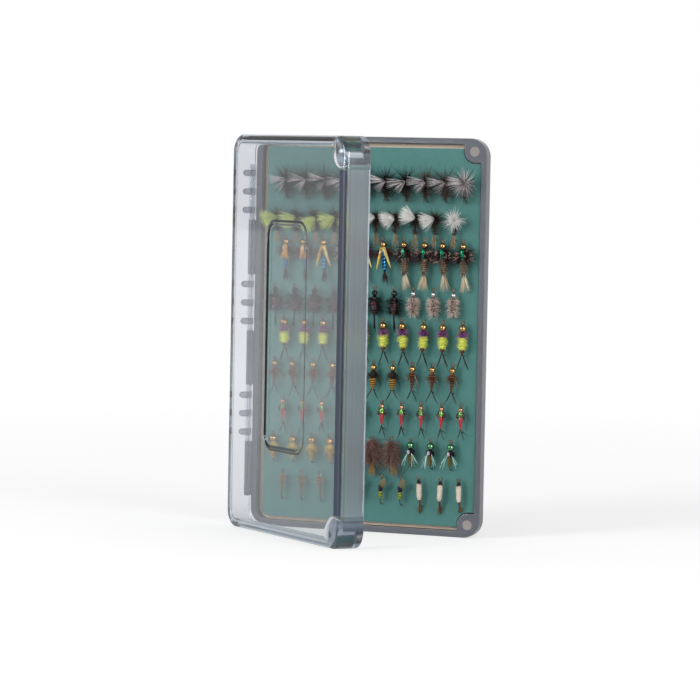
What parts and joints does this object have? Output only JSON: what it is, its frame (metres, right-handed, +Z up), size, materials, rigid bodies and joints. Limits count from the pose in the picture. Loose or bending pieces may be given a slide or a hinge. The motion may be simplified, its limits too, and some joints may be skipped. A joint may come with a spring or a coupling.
{
  "type": "fly box",
  "caption": "Slim pocket fly box: shallow smoke-grey tray with a slit teal silicone mat of tied flies, deep clear lid on a side hinge, corner magnets.",
  "frame": {"origin": "centre of the tray's lower end face, on which the case stands", "axes": "+Z up along the case's height, rims face -Y, hinge on the -X side"},
  "size_m": [0.1226, 0.0887, 0.184],
  "materials": {
    "tray_plastic": "moulded smoke-grey translucent plastic, polished",
    "lid_plastic": "moulded clear plastic, polished",
    "hinge_rod": "clear extruded rod",
    "backing_sheet": "tan adhesive sheet, matt",
    "silicone": "teal silicone, satin with fine dust",
    "magnet_plate": "nickel-plated disc, brushed by handling",
    "hook_wire": "bronzed steel wire",
    "bead_gold": "gold-plated bead, polished",
    "bead_silver": "nickel-plated bead, polished",
    "bead_copper": "copper-plated bead, polished",
    "bead_emerald": "metallic green bead, polished",
    "dark_dubbing": "dark brown tied fur and thread",
    "tan_dubbing": "tan and grey tied fur",
    "grey_dubbing": "grey-tan tied fur",
    "chartreuse_thread": "chartreuse floss below a purple collar",
    "pheasant_fibre": "brown feather fibre with amber rib",
    "red_floss": "glossy red floss",
    "olive_thread": "olive thread",
    "cream_floss": "cream floss",
    "hackle_fibre": "stiff feather fibres, grey-brown",
    "wing_fibre": "pale grey feather wing",
    "tuft_yarn": "white and bright yarn"
  },
  "bodies": {
    "tray_body": {"tray": "tray_plastic", "mat_backing": "backing_sheet", "silicone_mat": "silicone", "tray_magnet_upper": "magnet_plate", "tray_magnet_lower": "magnet_plate", "hinge_pin": "hinge_rod", "hooks_row_1": "hook_wire", "hooks_row_2": "hook_wire", "hooks_row_3": "hook_wire", "hooks_row_4": "hook_wire", "hooks_row_5": "hook_wire", "hooks_row_6": "hook_wire", "hooks_row_7": "hook_wire", "hooks_row_8": "hook_wire", "hooks_row_9": "hook_wire", "bodies_row_1": "dark_dubbing", "bodies_row_2": "dark_dubbing", "bodies_row_3": "tan_dubbing", "bodies_row_4": "grey_dubbing", "bodies_row_5": "chartreuse_thread", "bodies_row_6": "pheasant_fibre", "bodies_row_7": "red_floss", "bodies_row_8": "olive_thread", "bodies_row_9": "cream_floss", "beads_row_3": "bead_gold", "beads_row_4": "bead_silver", "beads_row_5": "bead_gold", "beads_row_6": "bead_gold", "beads_row_7": "bead_copper", "beads_row_8": "bead_emerald", "hackles_row_1": "hackle_fibre", "hackles_row_2": "hackle_fibre", "wings_row_1": "wing_fibre", "tufts_row_2": "tuft_yarn"},
    "lid_body": {"lid": "lid_plastic", "lid_magnet_upper": "magnet_plate", "lid_magnet_lower": "magnet_plate"}
  },
  "joints": [
    {"name": "lid_hinge", "type": "hinge", "parent": "tray_body", "child": "lid_body", "pos_m": [-0.0595, -0.003, 0.092], "axis": [0, 0, -1], "range_deg": [-39, 141]}
  ]
}
